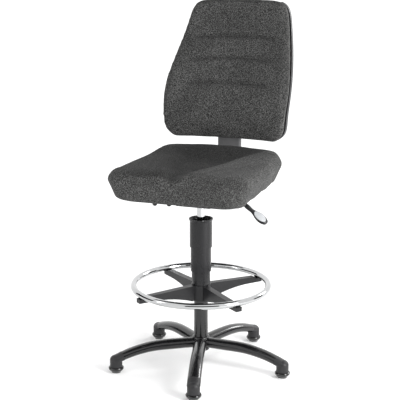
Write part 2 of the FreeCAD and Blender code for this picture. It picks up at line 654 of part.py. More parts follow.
keep(shaped("back_spring", make_spring()))

# height lever: a flat bar that turns down into the paddle
paddle_turn = math.radians(work("paddle_drop"))
PADDLE_START = Vector(work("paddle_x"), 0, work("paddle_z"))
PADDLE_RUN = Vector(math.cos(paddle_turn), 0, -math.sin(paddle_turn))


def make_lever():
    level = work("lever_axis_z")
    inside = PADDLE_START + PADDLE_RUN * 20
    bend = Part.BSplineCurve()
    bend.interpolate([Vector(100, 0, level), Vector((100 + PADDLE_START.x) / 2 + 8, 0, level - 11),
                      PADDLE_START, inside],
                     InitialTangent=Vector(60, 0, 0), FinalTangent=PADDLE_RUN * 60)
    half_w = work("lever_wide") / 2
    half_t = work("lever_thick") / 2
    section = [Vector(100, -half_w, level - half_t), Vector(100, half_w, level - half_t),
               Vector(100, half_w, level + half_t), Vector(100, -half_w, level + half_t)]
    profile = Part.makePolygon(section + section[:1])
    drop = Part.Wire(bend.toShape()).makePipeShell([profile], True, False)
    straight = Part.makeBox(106, 2 * half_w, 2 * half_t, Vector(-6, -half_w, level - half_t))
    boss = Part.makeCylinder(6, 2 * half_w, Vector(work("lever_axis_x"), -half_w, level), Vector(0, 1, 0))
    hole = Part.makeCylinder(work("lever_pin_r + run_gap"), 60, Vector(work("lever_axis_x"), -30, level),
                             Vector(0, 1, 0))
    return straight.fuse([drop, boss]).cut(hole).removeSplitter()


# share of the paddle's length, share of its width, share of its thickness, share of its twist
GRIP_OVALS = ((-0.55, 0.58, 0.95, 0), (-0.25, 0.56, 0.95, 0), (0, 0.54, 0.85, 0.2), (0.2, 0.6, 0.8, 0.6),
              (0.45, 0.94, 1, 1), (0.75, 1, 0.9, 1), (0.92, 0.72, 0.62, 1), (1, 0.3, 0.25, 1))


def paddle_form():
    """The grip, as a loft of ovals: a neck round the bar, then a paddle that closes towards its tip."""
    wide = work("paddle_wide") / 2
    thick = work("paddle_thick") / 2
    ovals = []
    for share, width, height, turned_by in GRIP_OVALS:
        edge = Part.Ellipse(Vector(), wide * width, thick * height).toShape()
        edge.rotate(Vector(), Vector(0, 0, 1), 90 + work("paddle_twist") * turned_by)
        edge.rotate(Vector(), Vector(0, 1, 0), 90 + work("paddle_drop"))
        edge.translate(PADDLE_START + PADDLE_RUN * (work("paddle_long") * share))
        ovals.append(Part.Wire(edge))
    return Part.makeLoft(ovals, True, False)


lever = make_lever()
paddle = paddle_form()
twist = math.radians(work("paddle_twist"))
up = Vector(math.sin(paddle_turn) * math.cos(twist), -math.sin(twist),
            math.cos(paddle_turn) * math.cos(twist))
oval_face = Part.Face(Part.Wire(Part.Ellipse(Vector(), work("paddle_long") * 0.33,
                                             work("paddle_wide") * 0.4).toShape()))
inlay_tool = oval_face.extrude(Vector(0, 0, 20))
inlay_tool.rotate(Vector(), Vector(1, 0, 0), work("paddle_twist"))
inlay_tool.rotate(Vector(), Vector(0, 1, 0), work("paddle_drop"))
inlay_tool.translate(PADDLE_START + PADDLE_RUN * (work("paddle_long") * 0.56) + up * (work("paddle_thick") * 0.2))
keep(shaped("height_lever", lever))
keep(shaped("grip_inlay", paddle.common(inlay_tool).cut(lever)))
keep(shaped("lever_grip", paddle.cut([inlay_tool, lever])))


def latch(name, y, end, drop):
    """A round shaft out of the housing's side with a drooping moulded grip on its end."""
    z = work("latch_z")
    start = Vector(-work("box_wide") / 2 + 12, work(y), z)
    corner = Vector(work(end) + 6, work(y), z)
    shaft = tube_between(work("latch_r"), start, corner)
    radius = work("latch_grip_r")
    grip = capsule(radius, Vector(work(end), work(y), z - 3), Vector(work(end) - 7, work(y),
                                                                     z - work(drop)))
    keep(shaped(f"{name}_lever", shaft))
    keep(shaped(f"{name}_grip", grip.cut(shaft)))


latch("seat_latch", "seat_latch_y", "seat_latch_x", "seat_latch_drop")
latch("back_latch", "back_latch_y", "back_latch_x", "back_latch_drop")

# ---------------------------------------------------------------- seat
EAR_X = f"{HALF} + ear_gap"
plate = block("plate_sheet", ("-plate_wide / 2", "plate_front", "plate_low"),
              ("plate_wide / 2", "plate_rear", "plate_low + plate_thick"))
plate_ears = [block(f"plate_ear_{k}", (x0, "seat_axis_y - ear_half", "seat_axis_z - 14"),
                    (x1, "seat_axis_y + ear_half", "plate_low + plate_thick"))
              for k, (x0, x1) in enumerate(((EAR_X, f"{EAR_X} + plate_thick"),
                                            (f"-({EAR_X}) - plate_thick", f"-({EAR_X})")))]
SCREW_SPOTS = [(f"{sx} * (plate_wide / 2 - 15)", y) for sx in (1, -1) for y in ("plate_front + 20",
                                                                                "plate_rear - 20")]
screw_tools = [rod(f"plate_screw_hole_{k}", "seat_screw_r", "plate_thick * 4", (x, y,
                                                                                "plate_low - plate_thick"),
                   (0, 0, 1)) for k, (x, y) in enumerate(SCREW_SPOTS)]
shaft_tool = rod("ear_shaft_hole", "seat_shaft_r + run_gap", "box_wide * 2", ("-box_wide", "seat_axis_y",
                                                                              "seat_axis_z"),
                 (1, 0, 0))
keep(cut("seat_plate", joined("plate_and_ears", [plate] + plate_ears), joined("plate_holes",
                                                                              screw_tools + [shaft_tool])))

SHELL_LOW = work("plate_low + plate_thick")
CUSHION_LOW = work("plate_low + plate_thick + shell_thick")


def seat_wire(inset, height):
    """The seat's plan outline: straight sides that narrow to the rear and four round corners."""
    front = work("seat_front") + inset
    rear = work("seat_rear") - inset
    half_f = work("seat_front_wide") / 2 - inset
    half_r = work("seat_rear_wide") / 2 - inset
    corners = [Vector(-half_f, front, height), Vector(half_f, front, height), Vector(half_r, rear, height),
               Vector(-half_r, rear, height)]
    radius = max(work("seat_corner") - inset * 0.6, 20)
    edges = []
    starts = []
    for i, corner in enumerate(corners):
        before = (corners[i - 1] - corner).normalize()
        after = (corners[(i + 1) % 4] - corner).normalize()
        opening = before.getAngle(after)
        back = radius / math.tan(opening / 2)
        enter = corner + before * back
        leave = corner + after * back
        bisector = (before + after).normalize()
        middle = corner + bisector * (radius / math.sin(opening / 2) - radius)
        starts.append((enter, middle, leave))
    for i, (enter, middle, leave) in enumerate(starts):
        edges.append(Part.Arc(enter, middle, leave).toShape())
        edges.append(Part.LineSegment(leave, starts[(i + 1) % 4][0]).toShape())
    return Part.Wire(edges)


def make_seat_shell():
    flat = Part.Face(seat_wire(work("shell_inset"), SHELL_LOW)).extrude(Vector(0, 0, work("shell_thick")))
    tools = [Part.makeCylinder(work("seat_screw_r"), work("shell_thick") * 0.8, Vector(work(x), work(y),
                                                                                       SHELL_LOW))
             for x, y in SCREW_SPOTS]
    for side in (1, -1):
        for end in (1, -1):
            spot = Vector(side * work("arm_hole_x"), work("arm_hole_y") + end * work("arm_hole_pitch") / 2,
                          SHELL_LOW)
            tools.append(Part.makeCylinder(work("arm_hole_r"), work("shell_thick"), spot))
    return flat.cut(tools)


keep(shaped("seat_shell", make_seat_shell()))
BELLY = CUSHION_LOW + work("seat_belly")
SEAT_TOP = CUSHION_LOW + work("seat_thick")
keep(shaped("seat_cushion", Part.makeLoft([
    seat_wire(work("seat_tuck"), CUSHION_LOW), seat_wire(0, BELLY), seat_wire(work("seat_crown"), SEAT_TOP),
], True, True)))
seat_bolts = [Part.makeCylinder(work("seat_screw_r"), work("plate_thick + shell_thick * 0.8"),
                                Vector(work(x), work(y), work("plate_low"))).fuse(
    Part.makeCylinder(work("seat_screw_r") * 2, 3, Vector(work(x), work(y), work("plate_low") - 3)))
    for x, y in SCREW_SPOTS]
keep(shaped("seat_screws", Part.makeCompound(seat_bolts)))

# ---------------------------------------------------------------- back bar
def make_bar():
    """A flat bar out of the pivot boss, along under the seat and up behind it."""
    y0 = work("back_axis_y")
    z0 = work("back_axis_z")
    y1 = work("bar_y")
    bend = work("bar_bend")
    top = work("bar_top")
    path = Part.Wire([
        Part.LineSegment(Vector(0, y0, z0), Vector(0, y1 - bend, z0)).toShape(),
        Part.Arc(Vector(0, y1 - bend, z0), Vector(0, y1 - bend * (1 - math.sqrt(0.5)),
                                                  z0 + bend * (1 - math.sqrt(0.5))),
                 Vector(0, y1, z0 + bend)).toShape(),
        Part.LineSegment(Vector(0, y1, z0 + bend), Vector(0, y1, top)).toShape()])
    w = work("bar_wide") / 2
    t = work("bar_thick") / 2
    section = [Vector(-w, y0, z0 - t), Vector(w, y0, z0 - t), Vector(w, y0, z0 + t), Vector(-w, y0, z0 + t)]
    flat = path.makePipeShell([Part.makePolygon(section + section[:1])], True, False)
    boss = Part.makeCylinder(work("bar_boss_r"), 2 * w, Vector(-w, y0, z0), Vector(1, 0, 0))
    hole = Part.makeCylinder(work("back_shaft_r + run_gap"), 4 * w, Vector(-2 * w, y0, z0), Vector(1, 0, 0))
    notches = [Part.makeBox(14, 6 * t, 5, Vector(-7, y1 - 3 * t, top - 14 - k * work("notch_pitch")))
               for k in range(6)]
    return flat.fuse(boss).cut([hole] + notches)


bar = make_bar()
keep(shaped("back_bracket", bar))


def make_sleeve():
    wide = work("sleeve_wide")
    thick = work("sleeve_thick")
    box = Part.makeBox(wide, thick, work("sleeve_tall"),
                       Vector(-wide / 2, work("bar_y") - thick / 2, work("sleeve_low")))
    uprights = [e for e in box.Edges if abs(e.tangentAt(e.FirstParameter).z) > 0.9]
    box = box.makeFillet(thick * 0.4, uprights)
    core = Part.makeBox(work("bar_wide"), work("bar_thick"), work("sleeve_tall") * 2,
                        Vector(-work("bar_wide") / 2, work("bar_y") - work("bar_thick") / 2,
                               work("sleeve_low") - 20))
    return box.cut(core)


keep(shaped("bar_sleeve", make_sleeve()))

# ---------------------------------------------------------------- back
BACK_LOW = work("back_low")
BACK_TALL = work("back_tall")
RIM = Part.BSplineCurve()
RIM.interpolate([
    Vector(0, work("back_foot_y"), BACK_LOW), Vector(0, work("back_lumbar_y"), BACK_LOW + 110),
    Vector(0, work("back_mid_y"), BACK_LOW + BACK_TALL * 0.51), Vector(0, work("back_high_y"),
                                                                       BACK_LOW + BACK_TALL * 0.755),
    Vector(0, work("back_head_y"), BACK_LOW + BACK_TALL)])


def rim_y(z):
    """Front-to-back place of the back's rim line at a height."""
    z = min(max(z, BACK_LOW), BACK_LOW + BACK_TALL)
    low, high = RIM.FirstParameter, RIM.LastParameter
    for _ in range(40):
        middle = (low + high) / 2
        if RIM.value(middle).z < z:
            low = middle
        else:
            high = middle
    return RIM.value((low + high) / 2).y


STATIONS = 9
SPARE = 20


def slab(front, rear, hollow, bulge=None, half=None):
    """A curved slab between two offsets from the rim line, hollow across its width.

    bulge gives, for a share of the height, how far the rear's middle stands behind its edges.
    """
    half = half or work("back_half") + SPARE
    wires = []
    for i in range(STATIONS):
        share = i / (STATIONS - 1)
        z = BACK_LOW - SPARE + (BACK_TALL + 2 * SPARE) * share
        rim = rim_y(z)
        fy = rim + front
        ry = rim + rear
        mid_f = fy + hollow
        mid_r = ry + (hollow if bulge is None else bulge(share))
        a, b = Vector(-half, fy, z), Vector(half, fy, z)
        c, d = Vector(half, ry, z), Vector(-half, ry, z)
        wires.append(Part.Wire([Part.Arc(a, Vector(0, mid_f, z), b).toShape(), Part.LineSegment(b,
                                                                                                c).toShape(),
                                Part.Arc(c, Vector(0, mid_r, z), d).toShape(), Part.LineSegment(d,
                                                                                                a).toShape()]))
    return Part.makeLoft(wires, True, False)


def back_outline(inset, hump=0.0):
    """The back's outline seen from the front, as a thick blank to cut slabs with."""
    low = BACK_LOW + inset
    top = BACK_LOW + BACK_TALL - inset
    foot = work("back_low_half") - inset
    wide = work("back_half") - inset
    head = work("back_top_half") - inset
    side = [(foot, low), (foot + 34, low + 34), (wide - 5, low + 82), (wide, low + 160), (wide - 9,
                                                                                          low + 255),
            (head + 9, low + BACK_TALL * 0.76), (head, low + BACK_TALL * 0.85), (head - 12, top - 34),
            (head - 44, top - 6)]
    flank = Part.BSplineCurve()
    flank.interpolate([Vector(x, 0, z) for x, z in side])
    mirror = Part.BSplineCurve()
    mirror.interpolate([Vector(-x, 0, z) for x, z in side])
    grip = work("grip_half")
    crown = [Vector(head - 44, 0, top - 6), Vector(grip + 12, 0, top + 0.3), Vector(grip - 8, 0,
                                                                                    top + hump),
             Vector(8 - grip, 0, top + hump), Vector(-grip - 12, 0, top + 0.3), Vector(44 - head, 0,
                                                                                       top - 6)]
    over = Part.BSplineCurve()
    over.interpolate(crown)
    edges = [flank.toShape(), over.toShape(), mirror.toShape(),
             Part.LineSegment(Vector(-foot, 0, low), Vector(foot, 0, low)).toShape()]
    blank = Part.Face(Part.Wire(Part.__sortEdges__(edges))).extrude(Vector(0, 900, 0))
    blank.translate(Vector(0, -100, 0))
    return blank


FRONT = -work("pad_front")
REAR = work("pad_rear")
SHELL_REAR = REAR + work("inner_thick")
cushion = slab(FRONT, REAR, work("pad_hollow")).common(back_outline(0))
inner = slab(REAR, SHELL_REAR, work("pad_hollow")).common(back_outline(work("inner_inset")))


def outer_bulge(shrink):
    """How far the outer shell's middle stands behind its edge, up the back."""
    def bulge(share):
        foot, lumbar, head = (work(name) - work("rim_thick") for name in ("outer_foot", "outer_bulge",
                                                                          "outer_head"))
        if share < 0.22:
            low, high, part = foot, lumbar, share / 0.22
        else:
            low, high, part = lumbar, head, min(1.0, max(0.0, (share - 0.34) / 0.5))
        return low + (high - low) * (part * part * (3 - 2 * part)) - shrink
    return bulge


wall = work("outer_wall")
rim_back = work("rim_thick")
solid_back = slab(REAR, rim_back, work("pad_hollow"), outer_bulge(0)).common(back_outline(-1.5,
                                                                                          work("grip_rise")))
room = slab(-60, rim_back - wall, work("pad_hollow"), outer_bulge(wall)).common(
    back_outline(wall - 1.5, work("grip_rise")))
sleeve_hole = Part.makeBox(work("sleeve_wide") + 14, work("sleeve_thick") + 14, 60, Vector(
    -work("sleeve_wide") / 2 - 7, work("bar_y") - work("sleeve_thick") / 2 - 7, BACK_LOW - 40))
hand_z = BACK_LOW + BACK_TALL - work("inner_inset") - work("grip_hole_tall") - 14
hand_hole = Part.makeBox(work("grip_hole_half") * 2, 200, work("grip_hole_tall"),
                         Vector(-work("grip_hole_half"), work("back_head_y") + 2, hand_z))
hand_hole = hand_hole.makeFillet(8,
                                 [e for e in hand_hole.Edges if abs(e.tangentAt(e.FirstParameter).y) > 0.9])
outer = solid_back
for tool in (room, sleeve_hole, hand_hole):
    outer = outer.cut(tool)
keep(shaped("back_inner_shell", inner))
keep(shaped("back_cushion", cushion))
keep(shaped("back_cover", outer))


back_bolts = []
for side in (1, -1):
    for z in (BACK_LOW + 85, BACK_LOW + 130):
        y = work("bar_y") - 4
        back_bolts.append(Part.makeCylinder(2.5, work("carrier_thick") / 2,
                                            Vector(side * (work("carrier_wide") / 2 - 9), y, z), Vector(0,
                                                                                                        1,
                                                                                                        0)))


def make_carrier():
    """A block behind the inner shell with a slot for the bar and a pocket for the pawl."""
    wide = work("carrier_wide")
    thick = work("carrier_thick")
    low = work("carrier_low")
    tall = work("carrier_tall")
    y = work("bar_y")
    block_ = Part.makeBox(wide, thick + 60, tall, Vector(-wide / 2, y - thick / 2 - 60, low))
    front = slab(-200, SHELL_REAR, work("pad_hollow"))
    gap = work("slide_gap")
    slot = Part.makeBox(work("bar_wide") + 2 * gap, work("bar_thick") + 2 * gap, tall * 3,
                        Vector(-work("bar_wide") / 2 - gap, y - work("bar_thick") / 2 - gap, low - tall))
    pocket = Part.makeBox(16, 12, 30, Vector(-8, y + work("bar_thick") / 2, low + 30))
    for tool in [front, slot, pocket, outer] + back_bolts:
        block_ = block_.cut(tool)
    return block_


keep(shaped("back_carrier", make_carrier()))
keep(block("ratchet_pawl", ("-6", "bar_y + bar_thick / 2 + slide_gap * 2", "carrier_low + 33"),
           ("6", "bar_y + carrier_thick / 2 - 2", "carrier_low + 55")))
keep(shaped("back_screws", Part.makeCompound(back_bolts)))

# ---------------------------------------------------------------- check and write
doc.recompute()
for thing in doc.Objects:
    if "Invalid" in thing.State or "Error" in thing.State:
        raise RuntimeError(f"{thing.Name} failed: {thing.State}")
os.makedirs("parts", exist_ok=True)
for piece in PIECES:
    shape = piece.Shape
    if shape.isNull() or not shape.isValid() or shape.Volume <= 0:
        raise RuntimeError(f"{piece.Label} is not a valid solid")
    print(f"{piece.Label:22s} solids {len(shape.Solids):2d} volume {shape.Volume / 1000:9.2f} cm3")
for piece in PIECES:
    piece.Shape.exportStep(f"parts/{piece.Label}.step")
print(len(PIECES), "pieces")
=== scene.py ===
# %% [markdown]
# # A drafting chair, finished in Blender
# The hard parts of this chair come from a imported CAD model, and this file gives them their finishes and
# makes the soft parts. Everything is in metres; the chair faces -Y and the sitter's left is +X. Each step
# below has a short explanation cell and then a short code cell that prints what it made.

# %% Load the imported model
import json
import math

import bmesh
import bpy
from mathutils import Matrix, Vector


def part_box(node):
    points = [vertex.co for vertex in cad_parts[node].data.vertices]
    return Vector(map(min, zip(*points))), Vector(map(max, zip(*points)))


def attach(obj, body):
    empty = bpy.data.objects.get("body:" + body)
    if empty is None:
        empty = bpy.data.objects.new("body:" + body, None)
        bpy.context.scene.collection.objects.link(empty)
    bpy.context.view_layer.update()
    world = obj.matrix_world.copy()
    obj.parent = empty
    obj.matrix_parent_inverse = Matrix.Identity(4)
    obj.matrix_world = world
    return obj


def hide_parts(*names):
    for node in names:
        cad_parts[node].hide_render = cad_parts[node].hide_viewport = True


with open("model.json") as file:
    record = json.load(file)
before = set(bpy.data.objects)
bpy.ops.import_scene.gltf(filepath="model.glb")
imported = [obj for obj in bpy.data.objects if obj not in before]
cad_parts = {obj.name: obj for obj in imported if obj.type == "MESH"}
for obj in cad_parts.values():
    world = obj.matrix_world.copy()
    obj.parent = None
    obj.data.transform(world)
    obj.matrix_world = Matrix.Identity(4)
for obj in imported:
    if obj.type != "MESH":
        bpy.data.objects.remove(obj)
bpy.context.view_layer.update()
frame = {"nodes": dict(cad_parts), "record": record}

nodes = frame["nodes"]

# %% [markdown]
# ## The camera
# The chair is seen from its front left corner and a little above, with a long lens, as in a catalogue. A
# long lens keeps the foot ring's ellipse and the seat's edges calm. The camera stands on a circle round the
# column, looks level at the column and is then pitched down.

# %% Camera
CAMERA_TURN = math.radians(20.5)
CAMERA_AWAY = 3.6164
CAMERA_UP = 1.480
CAMERA_PITCH = math.radians(13.494)
LENS = 95.75
SENSOR = 36.0
SHIFT = -0.0024

camera_data = bpy.data.cameras.new("camera")
camera_data.lens = LENS
camera_data.sensor_width = SENSOR
camera_data.shift_x = SHIFT
camera = bpy.data.objects.new("camera", camera_data)
camera_x = CAMERA_AWAY * math.sin(CAMERA_TURN)
camera_y = -CAMERA_AWAY * math.cos(CAMERA_TURN)
camera.location = (camera_x, camera_y, CAMERA_UP)
camera.rotation_euler = (math.pi / 2 - CAMERA_PITCH, 0, CAMERA_TURN)
bpy.context.scene.collection.objects.link(camera)
bpy.context.scene.camera = camera
print("camera at", [round(v, 3) for v in camera.location])

# %% [markdown]
# ## Studio
# A pale floor and large soft lamps. Dark upholstery needs a strong side lamp to show its form, and bright
# metal mirrors whatever stands round it, so each area lamp is large and black cards out of view give it
# dark bands. One stands on the sitter's left, where the seat's side is lightest, one opposite and one
# overhead.

# %% Floor, backdrop tone and lamps
view = bpy.context.scene.view_settings
view.view_transform = "Standard"
view.look = "None"

world = bpy.data.worlds.new("studio")
bpy.context.scene.world = world
world.use_nodes = True
WORLD_STRENGTH = 1.30
surround = world.node_tree.nodes["Background"]
surround.inputs["Color"].default_value = (1.0, 1.0, 1.0, 1)
surround.inputs["Strength"].default_value = WORLD_STRENGTH

FLOOR_HALF = 60.0
floor_mesh = bpy.data.meshes.new("floor")
bm = bmesh.new()
bmesh.ops.create_grid(bm, x_segments=2, y_segments=2, size=FLOOR_HALF)
bm.to_mesh(floor_mesh)
bm.free()
floor = bpy.data.objects.new("floor", floor_mesh)
bpy.context.scene.collection.objects.link(floor)
floor_finish = bpy.data.materials.new("pale_floor")
floor_finish.use_nodes = True
floor_shader = floor_finish.node_tree.nodes["Principled BSDF"]
floor_shader.inputs["Base Color"].default_value = (0.95, 0.95, 0.95, 1)
floor_shader.inputs["Roughness"].default_value = 1.0
floor_shader.inputs["Specular IOR Level"].default_value = 0.0
floor_mesh.materials.append(floor_finish)


def flag(name, place, target, wide, tall, dims_light=False):
    """A black card that the lens doesn't see: it darkens what glossy parts mirror, and may dim the light."""
    mesh = bpy.data.meshes.new(name)
    bm = bmesh.new()
    bmesh.ops.create_grid(bm, x_segments=1, y_segments=1, size=0.5)
    bmesh.ops.scale(bm, vec=(wide, tall, 1), verts=bm.verts)
    turn = (Vector(target) - Vector(place)).to_track_quat("Z", "Y").to_matrix().to_4x4()
    bmesh.ops.transform(bm, matrix=Matrix.Translation(place) @ turn, verts=bm.verts)
    bm.to_mesh(mesh)
    bm.free()
    card = bpy.data.objects.new(name, mesh)
    bpy.context.scene.collection.objects.link(card)
    card.visible_camera = False
    card.visible_diffuse = dims_light
    black = bpy.data.materials.new(name)
    black.use_nodes = True
    black_shader = black.node_tree.nodes["Principled BSDF"]
    black_shader.inputs["Base Color"].default_value = (0.004, 0.004, 0.004, 1)
    black_shader.inputs["Roughness"].default_value = 1.0
    mesh.materials.append(black)


flag("flag_front", (1.6, -3.9, 1.2), (0, 0, 0.7), 4.2, 3.2)
flag("flag_left", (-3.9, -0.6, 0.9), (0, 0, 0.6), 3.2, 2.6)
flag("flag_right", (3.6, 2.2, 0.7), (0, 0, 0.5), 1.6, 2.0)
flag("flag_overhead", (-0.3, 0.2, 2.6), (0, 0, 0), 2.6, 2.6, dims_light=True)


def lamp(name, place, target, size, power, tall=None):
    """A large area lamp at a place, turned to a target."""
    data = bpy.data.lights.new(name, "AREA")
    data.shape = "RECTANGLE"
    data.size = size
    data.size_y = tall or size
    data.energy = power
    piece = bpy.data.objects.new(name, data)
    piece.location = place
    piece.rotation_euler = (Vector(target) - Vector(place)).to_track_quat("-Z", "Y").to_euler()
    bpy.context.scene.collection.objects.link(piece)
    return piece


MIDDLE = (0, 0, 0.65)
lamp("lamp_left_of_sitter", (3.0, -1.0, 1.5), MIDDLE, 0.9, 110, 2.2)
lamp("lamp_right_of_sitter", (-2.4, -2.2, 1.6), MIDDLE, 0.5, 12, 1.8)
lamp("lamp_behind", (1.6, 2.6, 1.9), MIDDLE, 0.8, 34)
print("studio ready")

# %% [markdown]
# ## Shader sums in plain Python
# Noise, flecks and weave are sums and products of numbers. A small class wraps a node's output socket and
# overloads the arithmetic signs, so a mask can be written as `speck * 0.65 + fine * 0.35` and Blender's
# Math nodes appear by themselves. Any other node comes from one method, `Finish.node`, which sets its
# settings first and then its inputs.

# %% Helper for node expressions
class Value:
    """A number that varies over a surface: one output socket of a material's node tree."""

    def __init__(self, tree, socket):
        self.tree = tree
        self.socket = socket

    def sum_node(self, operation, first, second):
        node = self.tree.nodes.new("ShaderNodeMath")
        node.operation = operation
        for place, part in enumerate((first, second)):
            if isinstance(part, Value):
                self.tree.links.new(part.socket, node.inputs[place])
            else:
                node.inputs[place].default_value = part
        return Value(self.tree, node.outputs[0])

    def __add__(self, other):
        return self.sum_node("ADD", self, other)

    def __radd__(self, other):
        return self.sum_node("ADD", other, self)

    def __mul__(self, other):
        return self.sum_node("MULTIPLY", self, other)

    def __rmul__(self, other):
        return self.sum_node("MULTIPLY", other, self)


class Finish:
    """One material: a Principled shader and the nodes that feed it."""

    def __init__(self, name, colour, roughness, metallic=0.0, **constants):
        self.material = bpy.data.materials.new(name)
        self.material.use_nodes = True
        self.tree = self.material.node_tree
        self.shader = self.tree.nodes["Principled BSDF"]
        self.set("Base Color", (*colour, 1))
        self.set("Roughness", roughness)
        self.set("Metallic", metallic)
        for key, number in constants.items():
            self.set(key.replace("_", " "), number)
        self.place = self.node("ShaderNodeTexCoord", output="Object")

    def set(self, name, number):
        self.shader.inputs[name].default_value = number

    def feed(self, name, value):
        self.tree.links.new(value.socket, self.shader.inputs[name])

    def node(self, kind, settings=None, inputs=None, output=0):
        """A node of a type, its settings, its inputs' values or links, and the output wanted."""
        node = self.tree.nodes.new(kind)
        for name, setting in (settings or {}).items():
            if name == "stops":
                for stop, (place, colour) in zip(node.color_ramp.elements, setting):
                    stop.position = place
                    stop.color = (*colour, 1)
            else:
                setattr(node, name, setting)
        for name, value in (inputs or {}).items():
            if isinstance(value, Value):
                self.tree.links.new(value.socket, node.inputs[name])
            else:
                node.inputs[name].default_value = value
        return Value(self.tree, node.outputs[output])

    def noise(self, scale, detail=2.0, place=None):
        inputs = {"Vector": place or self.place, "Scale": scale, "Detail": detail}
        return self.node("ShaderNodeTexNoise", inputs=inputs, output="Fac")

    def ramp(self, value, *stops):
        return self.node("ShaderNodeValToRGB", {"stops": stops}, {"Fac": value}, output="Color")

    def mix(self, share, first, second):
        """A colour between two colours or links."""
        node = self.tree.nodes.new("ShaderNodeMix")
        node.data_type = "RGBA"
        for slot, part in ((0, share), (6, first), (7, second)):
            if isinstance(part, Value):
                self.tree.links.new(part.socket, node.inputs[slot])
            else:
                node.inputs[slot].default_value = part if slot == 0 else (*part, 1)
        return Value(self.tree, node.outputs[2])

    def range(self, value, low, high, to_low, to_high):
        inputs = {"Value": value, "From Min": low, "From Max": high, "To Min": to_low, "To Max": to_high}
        return self.node("ShaderNodeMapRange", inputs=inputs, output="Result")

    def bump(self, height, distance, strength=1.0):
        inputs = {"Height": height, "Distance": distance, "Strength": strength}
        self.feed("Normal", self.node("ShaderNodeBump", inputs=inputs, output="Normal"))


print("shader helper ready")

# %% [markdown]
# ## Upholstery cloth
# The seat and the back wear one woven cloth: charcoal yarn with lighter and darker flecks, a melange.
# Printing the pattern from an image would slide on the curved pads, so it is grown from noise in the
# piece's own coordinates. Two sizes of fleck are laid over each other, fine threads cross in both
# directions, and the same threads raise the bump. In the channels and on the sitting area the cloth is
# darkened with painted shade: each pad carries a number per point that says how much painted shade it
# gets.

# %% Melange cloth
THREAD = 900.0
# Name of the per-point attribute that carries the painted shade on the pads.
SHADE_ATTRIBUTE = "painted_shade"


def melange_cloth(name, base, light, dark):
    cloth = Finish(name, base, 0.95, Sheen_Weight=0.04, Sheen_Roughness=0.5, Specular_IOR_Level=0.08)
    wide = cloth.noise(9, 3)
    speck = cloth.noise(400, 1)
    fine = cloth.noise(900, 1)
    yarn = speck * 0.65 + fine * 0.35
    threads = []
    for direction in ("X", "Z"):
        bands = {"wave_type": "BANDS", "bands_direction": direction}
        inputs = {"Vector": cloth.place, "Scale": THREAD / (2 * math.pi), "Distortion": 1.5,
                  "Detail": 1.0, "Detail Scale": 3.0}
        threads.append(cloth.node("ShaderNodeTexWave", bands, inputs, output="Fac"))
    weave = threads[0] * 0.5 + threads[1] * 0.5
    tone = cloth.ramp(yarn, (0.44, dark), (0.66, light))
    toned = cloth.mix(cloth.range(weave, 0.2, 0.8, 0.0, 0.35), tone, base)
    worn = cloth.mix(cloth.range(wide, 0.3, 0.7, 0.0, 0.3), toned, dark)
    # Painted shade: the per-point number darkens the cloth towards the dark fleck colour.
    painted_shade = cloth.node("ShaderNodeAttribute", {"attribute_name": SHADE_ATTRIBUTE}, output="Fac")
    cloth.feed("Base Color", cloth.mix(painted_shade * 0.75, worn, dark))
    cloth.feed("Roughness", cloth.range(yarn, 0.3, 0.7, 0.98, 0.86))
    cloth.bump(yarn * 0.6 + weave * 0.4, 0.0012, 0.8)
    return cloth.material


CLOTH_BASE = (0.024, 0.024, 0.024)
CLOTH_LIGHT = (0.200, 0.200, 0.196)
CLOTH_DARK = (0.006, 0.006, 0.006)
cloth_finish = melange_cloth("melange_cloth", CLOTH_BASE, CLOTH_LIGHT, CLOTH_DARK)
print("cloth ready")

# %% [markdown]
# ## Moulded plastics
# Injection-moulded covers and caps are never one flat grey. A spark-eroded mould leaves a fine grain,
# handling polishes it a little in patches, and larger noise shifts the gloss. One function makes all of
# them, with the grain's size and the gloss as its arguments.

# %% Plastics
def moulded(name, colour, rough, grain, depth, lift=1.25, shine=0.3):
    plastic = Finish(name, colour, rough, Specular_IOR_Level=shine)
    patches = plastic.noise(14, 4)
    pores = plastic.noise(grain, 2)
    lighter = tuple(min(1, c * lift) for c in colour)
    worn = plastic.range(patches + pores * 0.3, 0.45, 0.85, 0, 1)
    plastic.feed("Base Color", plastic.mix(worn, colour, lighter))
    plastic.feed("Roughness", plastic.range(patches, 0.3, 0.7, rough - 0.05, rough + 0.07))
    plastic.bump(pores, depth, 0.5)
    return plastic.material


cover_finish = moulded("cover_plastic", (0.009, 0.009, 0.010), 0.24, 1500, 0.00025)
cap_finish = moulded("cap_plastic", (0.018, 0.018, 0.019), 0.42, 1400, 0.0004)
sleeve_finish = moulded("sleeve_plastic", (0.135, 0.135, 0.138), 0.5, 900, 0.0006)
spider_finish = moulded("spider_plastic", (0.010, 0.010, 0.011), 0.34, 1600, 0.0002)
shell_finish = moulded("shell_plastic", (0.008, 0.008, 0.009), 0.40, 1100, 0.0005)
grip_finish = moulded("grip_plastic", (0.009, 0.009, 0.010), 0.30, 1500, 0.0002)
glide_finish = moulded("glide_plastic", (0.004, 0.004, 0.004), 0.12, 1800, 0.00008, shine=0.6)
slide_finish = moulded("slide_plastic", (0.55, 0.54, 0.50), 0.38, 1500, 0.0001, 1.08)
rubber_finish = moulded("pad_rubber", (0.10, 0.10, 0.10), 0.75, 700, 0.0006)
inlay_finish = moulded("inlay_plastic", (0.36, 0.37, 0.38), 0.36, 1800, 0.00012, 1.2)
print("plastics ready")

# %% [markdown]
# ## Metals
# The legs and the stand tube are powder coated in gloss black: the coat has a faint orange peel and a
# clear, hard highlight. The foot ring and the gas cylinder are chromed. Pins, springs and screws are plain
# machined steel, with a fine scratch pattern in the roughness.

